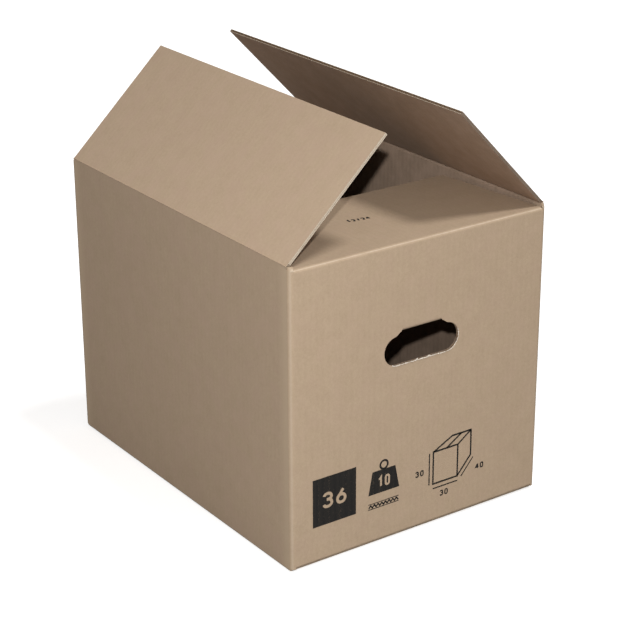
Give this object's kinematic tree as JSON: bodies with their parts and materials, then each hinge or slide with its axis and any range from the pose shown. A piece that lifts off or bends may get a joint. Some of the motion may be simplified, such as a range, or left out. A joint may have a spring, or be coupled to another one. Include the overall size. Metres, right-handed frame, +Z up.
{
  "type": "moving box",
  "caption": "Rectangular corrugated board carton with a closed folded bottom, hinged long top flaps half open over the short ones, and a hand hole in each end wall.",
  "frame": {"origin": "middle of the box's footprint, on the surface it stands on", "axes": "+X across the hand-hole end walls, from the left side wall to the right one; +Y from the printed front end wall to the rear one; +Z up"},
  "size_m": [0.306, 0.406, 0.4225],
  "materials": {
    "kraft_board": "uncoated brown kraft liner on single-wall corrugated board, matt, with darker open flutes at the cut edges"
  },
  "bodies": {
    "carton": {"carton_body": "kraft_board"},
    "left_flap": {"left_top_flap": "kraft_board"},
    "right_flap": {"right_top_flap": "kraft_board"}
  },
  "joints": [
    {"name": "left_flap_crease", "type": "hinge", "parent": "carton", "child": "left_flap", "pos_m": [-0.153, 0, 0.3126], "axis": [0, -1, 0], "range_deg": [-43.6, 221.4]},
    {"name": "right_flap_crease", "type": "hinge", "parent": "carton", "child": "right_flap", "pos_m": [0.153, 0, 0.3126], "axis": [0, 1, 0], "range_deg": [-46.1, 218.9]}
  ]
}
